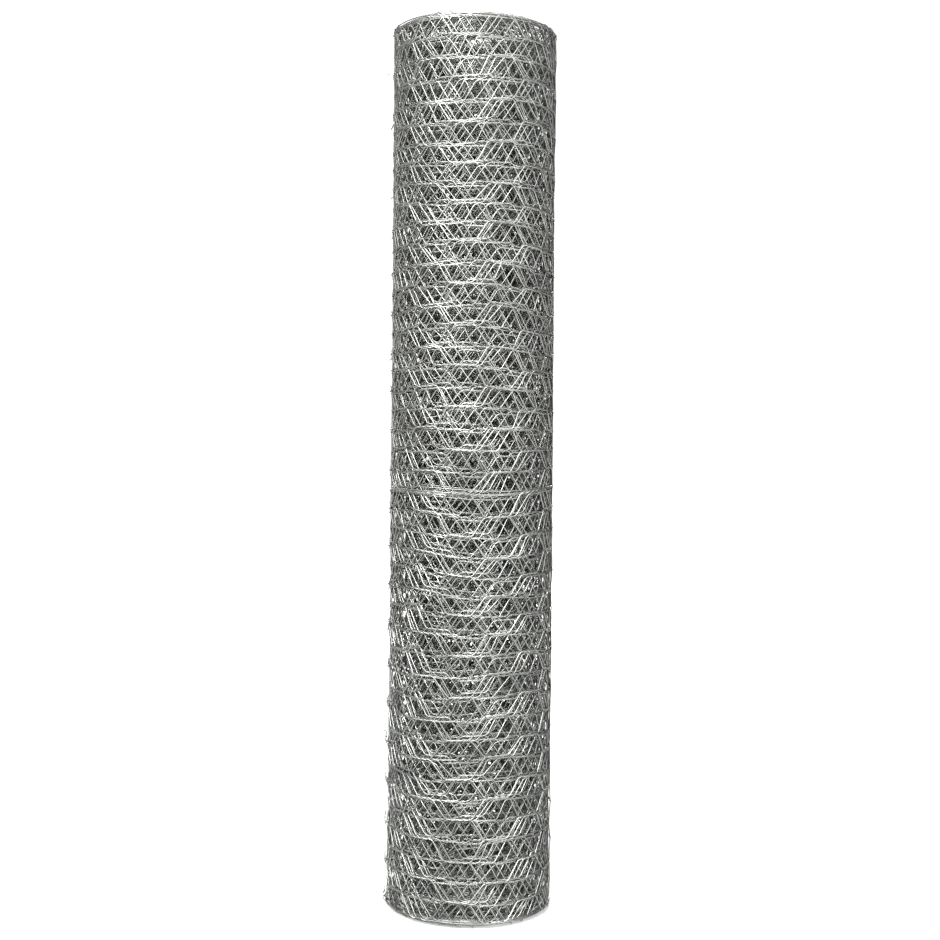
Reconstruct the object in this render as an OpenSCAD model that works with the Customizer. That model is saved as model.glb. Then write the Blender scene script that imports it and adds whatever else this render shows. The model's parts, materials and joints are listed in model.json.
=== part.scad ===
// Roll of hexagonal wire netting (chicken wire), standing on one end.
//
// Netting sold by the roll is wound on a mandrel that is then drawn out, so the roll is
// one ring-shaped body: many turns of netting, wound close, round an open bore.
// It is turned here as one solid. Each end carries one ridge for each turn, where the
// edge wire of the netting comes round, and a groove between each turn and the next.
// Origin: centre of the end that the roll stands on. +Z runs up the axis of the roll.

/* [Roll] */
// Height of the roll, which is the width of the netting from edge wire to edge wire
roll_h = 610; // [300:5:1830]
// Outside diameter of the roll
roll_d = 113; // [90:0.5:300]
// Diameter of the open bore that the winding mandrel leaves
bore_d = 40; // [20:0.5:60]

/* [Turns on the ends] */
// Radial room that one turn of netting takes up, as near as whole turns allow
turn_room = 0.86; // [0.8:0.01:3]
// Width of the flat crest of each ridge, where the edge wire rests on the floor
crest_w = 0.5; // [0.2:0.05:0.7]
// Depth of the groove between two neighbouring turns
groove_depth = 0.9; // [0.3:0.1:3]

/* [Surface] */
// Number of sides that round surfaces are drawn with
roundness = 180; // [48:12:360]

/* [Hidden] */

roll_r = roll_d / 2;
bore_r = bore_d / 2;

// Whole turns fill the wall between the bore and the outside exactly.
turns = floor((roll_r - bore_r) / turn_room);
turn_pitch = (roll_r - bore_r) / turns;

// Radius at the middle of a turn, counted from 0 at the bore.
function turn_r(i) = bore_r + (i + 0.5) * turn_pitch;

// Points of one end's outline from the bore to the outside: each turn rises to a flat
// crest at crest_z, and the outline falls to root_z between it and the next turn.
function end_outline(crest_z, root_z) = concat(
    [[bore_r, root_z]],
    [for (i = [0 : turns - 1]) each [
        [turn_r(i) - crest_w / 2, crest_z],
        [turn_r(i) + crest_w / 2, crest_z],
        [turn_r(i) + turn_pitch / 2, root_z]
    ]]
);

function reversed(points) = [for (i = [len(points) - 1 : -1 : 0]) points[i]];

// The wound netting as one turned body with its bore.
module netting_roll() {
    color("silver")
        rotate_extrude($fn = roundness)
            polygon(concat(
                end_outline(0, groove_depth),
                reversed(end_outline(roll_h, roll_h - groove_depth))
            ));
}

netting_roll();
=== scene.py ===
# %% [markdown]
# # A roll of chicken wire
#
# Chicken wire is hexagonal netting: thin zinc-coated wires run the whole length of the
# sheet, and each one is twisted round its left neighbour, then round its right one, in
# turn. The sheet is wound up into a roll that stands on its end. A netting could be made
# from one hexagon repeated by an Array modifier and bent by a Curve modifier. Here it is
# made straight from numpy arrays instead, wire by wire, because the wires of a real roll
# are twisted, uneven and wound in a spiral, and arrays keep all three under control.
#
# First come the frame and its box. Every size below is in metres, with Z up.

# %% Load the frame
import json
import math

import bpy
import numpy as np
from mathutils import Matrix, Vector


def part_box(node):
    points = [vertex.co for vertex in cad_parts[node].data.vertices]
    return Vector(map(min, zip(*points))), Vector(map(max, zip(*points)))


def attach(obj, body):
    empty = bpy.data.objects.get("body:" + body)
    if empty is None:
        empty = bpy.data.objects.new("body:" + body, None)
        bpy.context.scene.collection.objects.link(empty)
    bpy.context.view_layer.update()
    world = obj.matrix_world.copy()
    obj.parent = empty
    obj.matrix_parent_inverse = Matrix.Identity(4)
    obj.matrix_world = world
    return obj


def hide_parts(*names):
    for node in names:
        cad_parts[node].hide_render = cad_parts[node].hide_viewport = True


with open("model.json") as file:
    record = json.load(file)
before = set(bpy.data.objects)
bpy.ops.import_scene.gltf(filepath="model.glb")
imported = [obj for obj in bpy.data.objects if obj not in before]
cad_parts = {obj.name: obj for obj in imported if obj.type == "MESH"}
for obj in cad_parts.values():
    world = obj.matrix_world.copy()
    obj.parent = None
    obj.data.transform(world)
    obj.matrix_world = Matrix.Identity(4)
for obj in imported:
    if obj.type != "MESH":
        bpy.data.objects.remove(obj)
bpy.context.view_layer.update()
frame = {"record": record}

# %% [markdown]
# ## Driving sizes
#
# The height and the outside of the roll are read from the box of the solid roll, and the
# bore from its mount, so the netting always fills the solid it stands for. The netting has
# a few driving sizes of its own. Its wire is 0.8 mm thick. A sheet of 22 rows of hexagons
# is 10 m long. A row of hexagons has two levels of twists, half a hexagon apart, and a
# column is the step from the twists of one level to those of the next. A twist takes up
# 68 % of that step. Almost 14 columns go once round the outside. Because 14 is even, the
# slanting wires of the outer turns come out side by side, like the teeth of a comb.
#
# The levels share the height that is left between the two ends, less the edge wires with
# the twists wound round them, and less a little play for turns that stand high or low.

# %% Driving sizes
low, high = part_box("netting_roll")
bore = next(m for m in frame["record"]["mounts"] if m["name"] == "bore")
ROLL_H = high[2] - low[2]
ROLL_R = (high[0] - low[0]) / 2
BORE_R = bore["dims"]["r_mm"] / 1000
WIRE_R = 0.00040
SHEET_LENGTH = 10.0
ROWS = 22
COLUMNS = 391
TWIST_SHARE = 0.68
LINE_WIRE_LEVEL = 21
END_PLAY = 0.0025

WIRES = 2 * ROWS
EDGE_R = 3 * WIRE_R
COLUMN = SHEET_LENGTH / COLUMNS
LEVEL_GAP = (ROLL_H - 2 * EDGE_R - 2 * END_PLAY) / WIRES
SHEET_BASE = low[2] + EDGE_R + END_PLAY
print("columns", COLUMN * 1000, "mm apart; levels", LEVEL_GAP * 1000, "mm apart")

# %% [markdown]
# ## How tightly the sheet is wound
#
# Seen from its end, the sheet is a spiral. A spiral of constant spacing has a simple
# formula, but a roll of netting is not so even: its outer turns nest tightly into each
# other, and the inner ones lie looser. So the spacing is given at a few lengths along the
# sheet, starting from the loose outer edge. Only its proportions count, because the area
# between the turns must fill the ring from the outside to the bore. That gives the radius
# at every length, and the angle is the length divided by the radius, summed up on the way.
# The loose edge stands on the left, 172 degrees round from the X axis.

# %% Winding tables
INNER_R = BORE_R + 2 * WIRE_R
START_ANGLE = math.radians(172)
LENGTHS = [0.00, 0.17, 0.20, 0.34, 0.37, 2.2, 2.6, 4.6, SHEET_LENGTH]
SPACING = [0.05, 0.05, 0.60, 0.60, 0.13, 0.13, 0.60, 1.00, 1.45]
TABLE_STEPS = 20000

sheet = np.linspace(0, SHEET_LENGTH, TABLE_STEPS + 1)
spacing = np.interp(sheet, LENGTHS, SPACING)


def running_sum(values, step):
    """The running area under a curve by trapezia, starting from nothing."""
    return np.concatenate([[0], np.cumsum((values[1:] + values[:-1]) / 2) * step])


wound = running_sum(spacing, sheet[1])
wound *= math.pi * (ROLL_R**2 - INNER_R**2) / wound[-1]
turn_radius = np.sqrt(ROLL_R**2 - wound / math.pi)
turn_angle = running_sum(1 / turn_radius, sheet[1])
print("turns wound", turn_angle[-1] / (2 * math.pi))

# %% [markdown]
# ## Smooth unevenness
#
# Nothing in a roll of netting is quite straight. A random number for every point would
# only make it rough, so the unevenness is a sum of a few long sine waves with random
# starts. The starts come from a numbered generator, so every run gives the same roll.

# %% Waves
def waves(x, lengths, seed):
    """A smooth random curve: the sum of one sine for each wavelength, with random starts.

    The sum is divided by the root of their number, so its size does not grow with them.
    The seed is the number of the generator that draws the starts.
    """
    starts = np.random.default_rng(seed).uniform(0, 2 * np.pi, len(lengths))
    parts = [np.sin(2 * np.pi * x / length + start) for length, start in zip(lengths, starts)]
    return np.sum(parts, axis=0) / math.sqrt(len(lengths))


ROW_WAVES = (0.19, 0.31, 0.67)
print("largest of three waves", np.abs(waves(sheet, ROW_WAVES, 4)).max())

# %% [markdown]
# ## Rows that wander
#
# The rows of a wound sheet are not level. They wave up and down together, because nested
# turns lock into each other, and each has a small wave of its own. The deeper turns drift
# away from the outer ones, from one metre along the sheet, which closes the gaps between
# the outer wires. All of this fades out at the two edge wires, so the roll stands flat.

# %% Row wander
ROW_WANDER = 0.0010
SHARED_WANDER = 0.0021
DEEP_WANDER = 0.0035
DEEP_WAVES = (0.21, 0.43, 0.97)
DEEP_START = 1.0
DEEP_FADE_IN = 1.6


def turned_angle(along):
    """The angle round the roll, in radians, at a place along the sheet."""
    return START_ANGLE + np.interp(along, sheet, turn_angle)


def drift(along, turned, height):
    """How far a row is moved up, from its place along the sheet, round the roll and in height.

    It is one part for the row itself, one shared by nested turns and one for deep turns.
    The shared part is three sines that go once, twice and three times round the roll, and
    shift round it with height. All of it fades to nothing at the two edge wires, as one
    minus the eighth power of the height counted from the middle.
    """
    fade = np.clip(1 - (2.03 * height - 1.015) ** 8, 0, 1)
    own = ROW_WANDER * waves(along + 0.05 * np.sin(5 * height), ROW_WAVES, 4)
    shared = np.sin(2 * turned + 17 * height) + np.sin(3 * turned - 11 * height + 1)
    shared = SHARED_WANDER / 2 * (shared + np.sin(turned + 29 * height))
    depth = np.clip((along - DEEP_START) / DEEP_FADE_IN, 0, 1)
    deep = DEEP_WANDER * depth * waves(along + 0.07 * height, DEEP_WAVES, 6)
    return fade * (own + shared + deep)


print("the edge wires drift", drift(1.0, turned_angle(1.0), np.array([0.0, 1.0])), "m")

# %% [markdown]
# ## Rolling the sheet up
#
# The netting is worked out flat, where it is easy, and this function carries it on to the
# roll. On the way it adds what makes the roll look wound by hand. Each turn slips a little
# higher or lower than its neighbours, so the ends show several edges. Shallow dents make
# it less round, though less so in the outermost half metre of the sheet. The roll is a
# touch wider near its foot, and the loose edge springs out there.

# %% Roll up
SLIP = 0.54 * END_PLAY
SLIP_WAVES = (0.33, 0.71, 1.6)
DENTS = 0.0004
DENT_WAVES = (0.083, 0.19, 0.37)
DENT_FADE_IN = 0.5
DENT_LEAST = 0.2
FOOT_SPREAD = 0.0016
FOOT_REACH = 1.5
EDGE_SPRING = 0.0016
SPRING_REACH = 0.05


def roll_up(along, across, out):
    """Carries sheet points on to the roll.

    Radius and angle at a length along the sheet are read from the two tables. The point is
    then radius times the cosine and the sine of the angle, at the height it had on the sheet.
    """
    turned = turned_angle(along)
    height = (across - low[2]) / ROLL_H
    slip = SLIP * waves(along, SLIP_WAVES, 3)
    dent = DENTS * waves(along + 0.3 * height, DENT_WAVES, 5)
    dent = dent * np.clip(along / DENT_FADE_IN, DENT_LEAST, 1)
    foot = EDGE_SPRING * np.exp(-along / SPRING_REACH) + FOOT_SPREAD * np.exp(-along / FOOT_REACH)
    foot = foot * (1 - height) ** 2
    radius = np.interp(along, sheet, turn_radius) + out + dent + foot
    up = across + slip + drift(along, turned, height)
    return np.stack([radius * np.cos(turned), radius * np.sin(turned), up], -1)


def outwards(along):
    """The direction that points straight out of the roll at a place along the sheet."""
    turned = turned_angle(along)
    return np.stack([np.cos(turned), np.sin(turned), np.zeros_like(turned)], -1)


print("outer edge at", roll_up(np.array([0.0]), np.array([low[2]]), 0.0)[0])

# %% [markdown]
# ## The places of the twists
#
# Every twist sits at a column and a level of the sheet. The machine does not place them
# perfectly, so each one gets a small fixed error along the sheet, across it and out of
# it, and is up to 7 % shorter or longer than planned. The twists on the two edges and on
# the line wire are held by those wires, so they wind round a thicker core.

# %% Twist places
ERROR_ALONG = 0.0007
ERROR_ACROSS = 0.0004
ERROR_OUT = 0.00015
LENGTH_RANGE = (0.93, 1.07)

rng = np.random.default_rng(7)
places = (COLUMNS + 1, WIRES + 1)
twist_along = rng.normal(0, ERROR_ALONG, places)
twist_across = rng.normal(0, ERROR_ACROSS, places)
twist_across[:, [0, WIRES]] = 0
twist_out = rng.normal(0, ERROR_OUT, places)
twist_half = COLUMN * TWIST_SHARE / 2 * rng.uniform(*LENGTH_RANGE, places)
coil_r = np.full(WIRES + 1, WIRE_R)
coil_r[[0, LINE_WIRE_LEVEL, WIRES]] = 2 * WIRE_R
SLOPE = (LEVEL_GAP / 2 - WIRE_R) / (COLUMN * (1 - TWIST_SHARE) / 2)
print("twists", twist_half.size, "; slanting wires at", math.degrees(math.atan(SLOPE)), "degrees")

# %% [markdown]
# ## The path of a wire
#
# Wire number k meets its right neighbour at the even columns and its left one at the odd
# columns, so it swings between level k and level k + 1. Inside a twist the two partners
# circle a common axis, on opposite sides of it. Outside, each leaves on its own side
# along a straight slant. Both parts are written as one formula of the place within the
# twist, and numpy works out all wires and all columns at once.

# %% Wire paths
BEND_LENGTH = 0.0004
NEAR_END = 0.8


def wire_paths(first, last, steps):
    """Sheet coordinates of every wire from one column to another.

    steps are places along a twist, where -1 and 1 are its two ends. Between the ends the
    wire circles the twist's axis twice, on a circle as wide as the wire. Beyond them its
    height grows by the slope times the distance past the end. To bend softly, that distance
    is replaced by the bend length times the logarithm of one plus e to the power of the
    distance over the bend length. The last column gives only its first point, which is
    where the next stretch goes on.
    """
    column = np.arange(first, last + 1)[None, :, None]
    wire = np.arange(WIRES)[:, None, None]
    above = (wire + column) % 2 == 0
    level = np.where(above, wire, wire + 1)
    side = np.where(above, 1.0, -1.0)
    sense = np.where(column % 2 == 0, 1.0, -1.0)
    f = np.asarray(steps)[None, None, :]
    half = twist_half[column, level]
    r = coil_r[level]
    turn = 2 * np.pi * np.clip(f, -1, 1)
    beyond = np.log1p(np.exp((np.abs(f) - 1) * half / BEND_LENGTH)) * BEND_LENGTH * SLOPE
    beyond = np.where(np.abs(f) > NEAR_END, beyond, 0)
    along = (column + 0.5) * COLUMN + twist_along[column, level] + half * f
    across = level * LEVEL_GAP + twist_across[column, level] + side * (r * np.cos(turn) + beyond)
    out = side * sense * r * np.sin(turn) + twist_out[column, level]
    keep = (last - first) * len(steps) + 1
    paths = [np.broadcast_to(a, along.shape).reshape(WIRES, -1)[:, :keep] for a in (along, across, out)]
    return paths[0], paths[1] + SHEET_BASE, paths[2]


print("one wire over two columns", wire_paths(0, 2, [-1, 0, 1])[1][0] * 1000, "mm up")

# %% [markdown]
# ## From paths to round wire
#
# A curve with a bevel would give round wire too, but one object for each of 44 wires on
# each turn is far too many. Instead a ring of points is set round every point of every
# path. A ring of only three or four points looks thinner than the circle it lies on, so
# it is widened until its mean width is that of the round wire.

# %% Rings
def ring_radius(sides):
    """The wire radius times pi, over the number of sides and the sine of pi over it."""
    return WIRE_R * np.pi / (sides * np.sin(np.pi / sides))


def ring_angles(sides):
    """The angles of the points round a ring, in equal parts of a full circle."""
    return 2 * np.pi * np.arange(sides) / sides


def wire_rings(along, across, out, sides):
    """A ring round every point: centre + r cos(a) outwards + r sin(a) sideways.

    Outwards points out of the roll and sideways is square to it, both square to the wire.
    """
    centre = roll_up(along, across, out)
    tangent = np.gradient(centre, axis=1)
    tangent /= np.linalg.norm(tangent, axis=-1, keepdims=True)
    normal = outwards(along)
    normal = normal - (normal * tangent).sum(-1, keepdims=True) * tangent
    normal /= np.linalg.norm(normal, axis=-1, keepdims=True)
    sideways = np.cross(tangent, normal)
    a = ring_angles(sides)
    r = ring_radius(sides)
    ring = centre[:, :, None] + r * np.cos(a)[:, None] * normal[:, :, None]
    return ring + r * np.sin(a)[:, None] * sideways[:, :, None]


print("ring radius with 3, 4 and 6 sides", [ring_radius(sides) * 1000 for sides in (3, 4, 6)], "mm")

# %% [markdown]
# ## Faces between the rings
#
# Neighbouring rings of a wire are joined by four-sided faces, and each end is closed by a
# flat cap. The corner numbers follow one rule, so they are written for all wires at once.
# The mesh also gets a UV map, with U along the sheet and V across it, so a baked picture
# has a place for every wire.

# %% Faces and map
UV_MARGIN = 0.01


def wire_faces(count, rings, sides):
    """The corner numbers of all faces in one list, and where in it each face starts.

    A quad joins point i of a ring to point i + 1 and to the same two of the next ring.
    """
    index = np.arange(count * rings * sides).reshape(count, rings, sides)
    after = np.roll(index, -1, axis=2)
    quads = np.stack([index[:, :-1], after[:, :-1], after[:, 1:], index[:, 1:]], -1).reshape(-1, 4)
    caps = np.concatenate([index[:, 0, ::-1], index[:, -1]])
    corners = np.concatenate([quads.ravel(), caps.ravel()])
    starts = np.concatenate([np.arange(len(quads)) * 4, quads.size + np.arange(len(caps)) * sides])
    return corners, starts


def wire_uv(along, across, sides, span):
    """U is the share of the span along the sheet, V the share of the roll's height.

    V also swings by one wire radius round each ring, as a zigzag of the angle. Both are
    drawn in by a margin all round.
    """
    zigzag = 1 - 2 * np.abs(1 - ring_angles(sides) / np.pi)
    u = (along - span[0]) / (span[1] - span[0])
    u = np.broadcast_to(u[:, :, None], (*along.shape, sides))
    v = (across[:, :, None] + WIRE_R * zigzag - low[2]) / ROLL_H
    return np.stack([u, v], -1).reshape(-1, 2) * (1 - 2 * UV_MARGIN) + UV_MARGIN


print("faces of one short six-sided wire", len(wire_faces(1, 2, 6)[1]))

# %% [markdown]
# ## One mesh for many wires
#
# All wires of a group go into one mesh, written with foreach_set, which is quick even for
# a million points. Building it face by face in a Python loop would take minutes.

# %% Tubes
def tubes(name, along, across, out, sides, span):
    """Makes a mesh of round wires, one per row of the arrays of sheet coordinates."""
    ring = wire_rings(along, across, out, sides)
    corners, starts = wire_faces(*ring.shape[:3])
    uv = wire_uv(along, across, sides, span)
    mesh = bpy.data.meshes.new(name)
    mesh.vertices.add(ring.size // 3)
    mesh.vertices.foreach_set("co", ring.astype(np.float32).ravel())
    mesh.loops.add(len(corners))
    mesh.loops.foreach_set("vertex_index", corners.astype(np.int32))
    mesh.polygons.add(len(starts))
    mesh.polygons.foreach_set("loop_start", starts.astype(np.int32))
    mesh.update(calc_edges=True)
    mesh.validate()
    mesh.shade_smooth()
    layer = mesh.uv_layers.new(name="OFBake")
    layer.uv.foreach_set("vector", uv[corners].astype(np.float32).ravel())

    piece = bpy.data.objects.new(name, mesh)
    bpy.context.collection.objects.link(piece)
    mesh.calc_loop_triangles()
    print(name, len(mesh.loop_triangles), "triangles")
    return piece


# %% [markdown]
# ## The turns of the roll
#
# The same sheet is built in six stretches, from the loose outer edge to the bore. The
# outermost turn is seen closest, so it gets the most points in each twist and six-sided
# wire. The turns below it show only through the gaps and get fewer of both. This keeps
# the whole roll under a million triangles and every piece under two hundred thousand.
# The last stretch ends at the last full twist, because the sheet ends there.

# %% Turns
FINE = [-1.07, -1.0, *np.linspace(-1, 1, 17)[1:-1], 1.0, 1.07]
MIDDLE = [-1.07, -0.97, *np.linspace(-1, 1, 9)[1:-1], 0.97, 1.07]
COARSE = [-1.05, *np.linspace(-1, 1, 9)[1:-1], 1.05]
PLAIN = [-1.05, -0.5, 0.0, 0.5, 1.05]
STRETCHES = [
    ("outer_turn", 0, 14, FINE, 6),
    ("second_turns", 14, 51, MIDDLE, 4),
    ("inner_turns_1", 51, 113, COARSE, 3),
    ("inner_turns_2", 113, 175, COARSE, 3),
    ("inner_turns_3", 175, 272, PLAIN, 3),
    ("inner_turns_4", 272, COLUMNS, PLAIN, 3),
]
pieces = []
for name, first, last, steps, sides in STRETCHES:
    paths = wire_paths(first, last, steps)
    if last == COLUMNS:
        paths = [p[:, :-1] for p in paths]
    span = (first * COLUMN, (last + 1) * COLUMN)
    pieces.append(tubes(name, *paths, sides, span))

# %% [markdown]
# ## The cut ends
#
# Where the sheet was snipped off the loom, every wire ends in a short free tail at the
# loose outer edge. Each tail goes on from the first twist. It keeps the slant it had and
# bends away a little, with a curve that grows as the square of the distance. Most tails
# are a few millimetres long, and some stick out further.

# %% Cut ends
TAIL_POINTS = 9
TAIL_RANGE = (0.0015, 0.0045)
LONG_TAILS = 7
LONG_FACTOR = 2.2
TAIL_RUN = 0.6
TAIL_RISE = 0.75
CURL_RANGE = (-0.2, 0.6)
TAIL_BEND = 0.3

tail_rng = np.random.default_rng(21)
reach = tail_rng.uniform(*TAIL_RANGE, WIRES)
reach[tail_rng.integers(0, WIRES, LONG_TAILS)] *= LONG_FACTOR
curl = tail_rng.uniform(*CURL_RANGE, WIRES)
bend = tail_rng.normal(0, TAIL_BEND, WIRES)

start = wire_paths(0, 1, [-1.07, -1.0, 0.0])
side = np.sign(start[1][:, :1] - start[1][:, 1:2])
gone = reach[:, None] * np.linspace(1, 0, TAIL_POINTS)[None, :]
tail_along = start[0][:, :1] - gone * TAIL_RUN
tail_across = start[1][:, :1] + side * gone * TAIL_RISE + bend[:, None] * gone**2 / reach[:, None]
tail_out = start[2][:, :1] + curl[:, None] * gone**2 / reach[:, None]
pieces.append(tubes("cut_ends", tail_along, tail_across, tail_out, 6, (-0.01, COLUMN)))
print("longest tail", reach.max() * 1000, "mm")

# %% [markdown]
# ## Edge wires and the line wire
#
# Netting has a straight wire along each edge, and the twists of the outer rows wind round
# it. Longer rolls also have a line wire near the middle, here one level below half
# height, which shows as a straight band round the roll. All three are the same thin wire
# as the rest, so they are three more rows for the same tube function.

# %% Edge and line wires
STRAIGHT_POINTS = 1800
levels = np.array([0, LINE_WIRE_LEVEL, WIRES])
straight = np.linspace(0, SHEET_LENGTH - COLUMN / 2, STRAIGHT_POINTS)
along = np.broadcast_to(straight, (len(levels), STRAIGHT_POINTS))
across = np.broadcast_to((levels * LEVEL_GAP)[:, None] + SHEET_BASE, along.shape)
pieces.append(tubes("edge_and_line_wires", along, across, np.zeros(along.shape), 4, (0, SHEET_LENGTH)))
print("triangles in all", sum(len(p.data.loop_triangles) for p in pieces))

# %% [markdown]
# ## Zinc
#
# Galvanised wire is a bare metal: grey, a little warm, and neither mirror-bright nor
# flat. The zinc has dulled more in some places than in others. A noise pattern a few
# centimetres across does the dulling, and a finer one adds the streaks left when the wire
# was drawn through the bath. Dull zinc is both darker and rougher, so the same mix drives
# the colour and the roughness. Object coordinates keep the pattern fixed to the roll.

# %% Zinc pattern
STREAK_SHARE = 0.4
zinc = bpy.data.materials.new("galvanised_wire")
zinc.use_nodes = True
nodes, links = zinc.node_tree.nodes, zinc.node_tree.links
shader = nodes["Principled BSDF"]
shader.inputs["Metallic"].default_value = 1.0
coords = nodes.new("ShaderNodeTexCoord")


def noise(scale, detail):
    """A noise pattern on Object coordinates. A larger scale gives a finer pattern."""
    pattern = nodes.new("ShaderNodeTexNoise")
    pattern.inputs["Scale"].default_value = scale
    pattern.inputs["Detail"].default_value = detail
    links.new(coords.outputs["Object"], pattern.inputs["Vector"])
    return pattern.outputs["Fac"]


dulled = nodes.new("ShaderNodeMix")
dulled.inputs["Factor"].default_value = STREAK_SHARE
links.new(noise(45, 2), dulled.inputs["A"])
links.new(noise(260, 3), dulled.inputs["B"])
print("pattern nodes", len(nodes))

# %% [markdown]
# ## From dull to clean
#
# The pattern's values crowd round one half, so only the stretch between two limits near
# it is used: the lower one is the dullest zinc and the upper one the cleanest.

# %% Zinc colour and roughness
DULL_AT, CLEAN_AT = 0.38, 0.62
DULL_ROUGHNESS, CLEAN_ROUGHNESS = 0.60, 0.44
ramp = nodes.new("ShaderNodeValToRGB")
ramp.color_ramp.elements[0].position = DULL_AT
ramp.color_ramp.elements[0].color = (0.32, 0.325, 0.312, 1)
ramp.color_ramp.elements[1].position = CLEAN_AT
ramp.color_ramp.elements[1].color = (0.52, 0.53, 0.507, 1)
links.new(dulled.outputs["Result"], ramp.inputs["Fac"])
links.new(ramp.outputs["Color"], shader.inputs["Base Color"])
rough = nodes.new("ShaderNodeMapRange")
rough.inputs["From Min"].default_value = DULL_AT
rough.inputs["From Max"].default_value = CLEAN_AT
rough.inputs["To Min"].default_value = DULL_ROUGHNESS
rough.inputs["To Max"].default_value = CLEAN_ROUGHNESS
links.new(dulled.outputs["Result"], rough.inputs["Value"])
links.new(rough.outputs["Result"], shader.inputs["Roughness"])
print("zinc nodes", len(nodes))

# %% [markdown]
# ## Handing the pieces over
#
# Every piece gets the zinc, rides on the one body of the roll, and stands in for the solid
# roll.

# %% Pieces
for piece in pieces:
    piece.data.materials.append(zinc)
    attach(piece, "root")
    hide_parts("netting_roll")
print(len(pieces), "pieces")

# %% [markdown]
# ## The floor
#
# The roll stands on a plain pale floor. It is a many-sided disc with a radius of 60 m, so
# its far edge is out of sight. For light it is a grey diffuse floor that gives the foot of
# the roll a soft shadow.

# %% Floor
FLOOR_RADIUS = 60
bpy.ops.mesh.primitive_circle_add(vertices=64, radius=FLOOR_RADIUS, fill_type="NGON", location=(0, 0, 0))
floor = bpy.context.object
floor.name = "studio_floor"
floor_mat = bpy.data.materials.new("pale_floor")
floor_mat.use_nodes = True
floor_nodes, floor_links = floor_mat.node_tree.nodes, floor_mat.node_tree.links
floor_shader = floor_nodes["Principled BSDF"]
floor_shader.inputs["Base Color"].default_value = (0.5, 0.5, 0.5, 1)
floor_shader.inputs["Roughness"].default_value = 0.8
floor.data.materials.append(floor_mat)
print("floor", floor.dimensions[:])

# %% [markdown]
# ## A floor that melts into the room
#
# To the camera the floor also glows, more with every step away from the roll, until it
# is as white as the room behind it. The glow is the distance from the middle of the disc,
# mapped to a strength. That is multiplied by one for the camera's own rays and by nought
# for all others, so the glow never lights the roll.

# %% Floor glow
GLOW_STARTS, GLOW_ENDS = 0.4, 2.0
GLOW_NEAR, GLOW_FAR = 0.42, 1.05
floor_place = floor_nodes.new("ShaderNodeTexCoord")
floor_away = floor_nodes.new("ShaderNodeVectorMath")
floor_away.operation = "LENGTH"
floor_fade = floor_nodes.new("ShaderNodeMapRange")
floor_fade.inputs["From Min"].default_value = GLOW_STARTS
floor_fade.inputs["From Max"].default_value = GLOW_ENDS
floor_fade.inputs["To Min"].default_value = GLOW_NEAR
floor_fade.inputs["To Max"].default_value = GLOW_FAR
floor_path = floor_nodes.new("ShaderNodeLightPath")
floor_glow = floor_nodes.new("ShaderNodeMath")
floor_glow.operation = "MULTIPLY"
floor_shader.inputs["Emission Color"].default_value = (1, 1, 1, 1)
floor_links.new(floor_place.outputs["Object"], floor_away.inputs[0])
floor_links.new(floor_away.outputs["Value"], floor_fade.inputs["Value"])
floor_links.new(floor_path.outputs["Is Camera Ray"], floor_glow.inputs[0])
floor_links.new(floor_fade.outputs["Result"], floor_glow.inputs[1])
floor_links.new(floor_glow.outputs["Value"], floor_shader.inputs["Emission Strength"])
print("floor nodes", len(floor_nodes))

# %% [markdown]
# ## The white room
#
# The room is a world with two faces: pure white for the camera, and nearly dark for
# everything else, so the gaps between the wires stay deep and the lamps alone shape the
# metal.

# %% Room
world = bpy.data.worlds.new("studio")
world.use_nodes = True
tree = world.node_tree
lit = tree.nodes["Background"]
lit.inputs["Color"].default_value = (1, 1, 1, 1)
lit.inputs["Strength"].default_value = 0.01
seen = tree.nodes.new("ShaderNodeBackground")
seen.inputs["Color"].default_value = (1, 1, 1, 1)
seen.inputs["Strength"].default_value = 1.0
path = tree.nodes.new("ShaderNodeLightPath")
mix = tree.nodes.new("ShaderNodeMixShader")
tree.links.new(path.outputs["Is Camera Ray"], mix.inputs["Fac"])
tree.links.new(lit.outputs["Background"], mix.inputs[1])
tree.links.new(seen.outputs["Background"], mix.inputs[2])
tree.links.new(mix.outputs["Shader"], tree.nodes["World Output"].inputs["Surface"])
bpy.context.scene.world = world
print("world", world.name)

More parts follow.
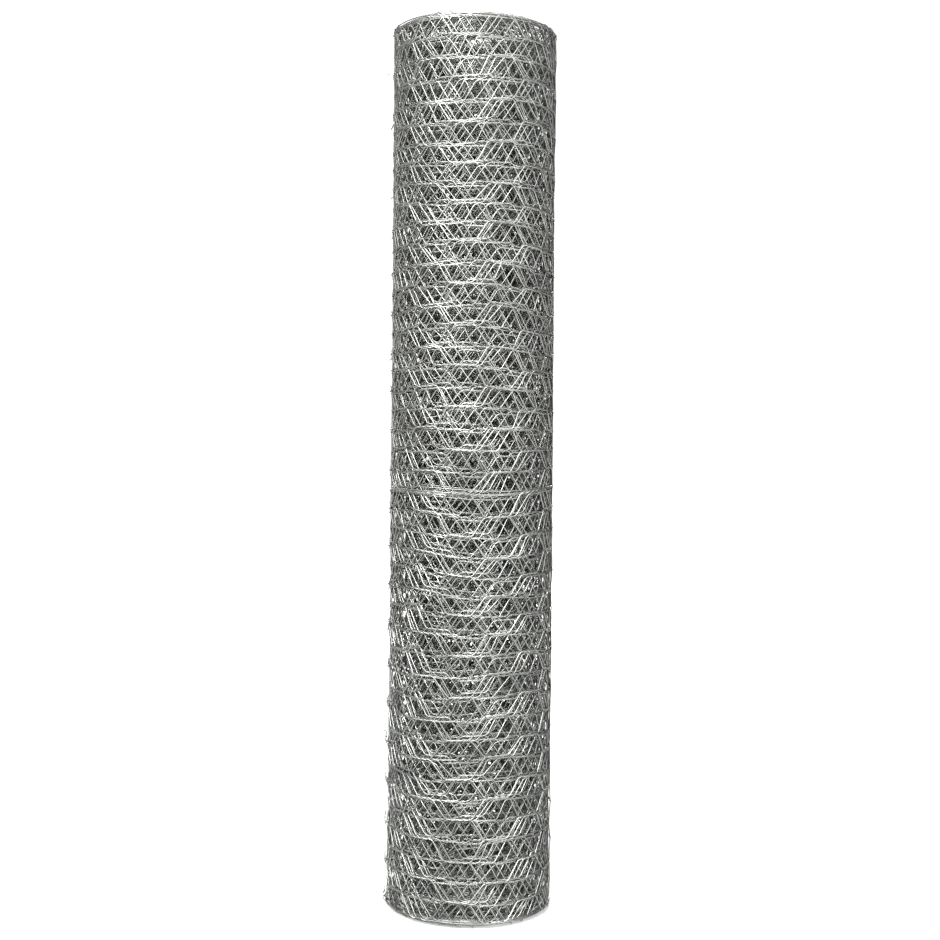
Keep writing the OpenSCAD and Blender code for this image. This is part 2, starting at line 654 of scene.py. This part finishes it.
# %% [markdown]
# ## Soft boxes
#
# A thin wire reflects a lamp only where it lies square to the direction halfway between
# lamp and camera. The strong soft box stands high on the left. From there it picks out the
# wires that rise to the right, and near the left side of the roll the ones that fall to
# the right. A weak one, low on the right, keeps that side from going dark. Both are more
# than a metre wide, so they also reach the turns below the surface. A third one lights
# the back.

# %% Lamps
def soft_light(name, place, aim, wide, tall, power):
    """A soft box of a given width and height in metres, turned to face a point."""
    data = bpy.data.lights.new(name, "AREA")
    data.shape = "RECTANGLE"
    data.size = wide
    data.size_y = tall
    data.energy = power
    light = bpy.data.objects.new(name, data)
    bpy.context.collection.objects.link(light)
    towards = Vector(aim) - Vector(place)
    light.location = place
    light.rotation_euler = towards.to_track_quat("-Z", "Y").to_euler()
    print(name, power, "W,", towards.length, "m away")


LOW_ON_ROLL = (0, 0, ROLL_H * 0.36)
soft_light("key", (-0.55, -1.45, 1.60), LOW_ON_ROLL, 1.2, 1.0, 98)
soft_light("side", (1.2, -1.2, 0.50), LOW_ON_ROLL, 1.2, 0.9, 18)
soft_light("back", (0, 2.1, 1.3), LOW_ON_ROLL, 1.6, 1.2, 80)

# %% [markdown]
# ## The camera
#
# The camera looks at the roll from the front, from just above its middle and just under a
# metre away, so that the roll fills the height of the frame. It is tilted down by one
# degree, and leans by half a degree, so the roll leans a little to the right. The view
# settings raise the contrast a little, which gives the metal its crisp darks.

# %% Camera
CAMERA_PLACE = (-0.0011, -0.941, 0.322)
TILT_DOWN = math.radians(1.04)
LEAN = math.radians(0.54)
LENS = 51.204255
camera_data = bpy.data.cameras.new("camera")
camera_data.sensor_width = 36
camera_data.lens = LENS
camera_data.clip_end = 200
camera = bpy.data.objects.new("camera", camera_data)
bpy.context.collection.objects.link(camera)
camera.location = CAMERA_PLACE
camera.rotation_euler = (math.radians(90) - TILT_DOWN, -LEAN, 0)
bpy.context.scene.camera = camera
bpy.context.scene.view_settings.view_transform = "Standard"
bpy.context.scene.view_settings.look = "Medium High Contrast"
print("lens", camera_data.lens, "mm")
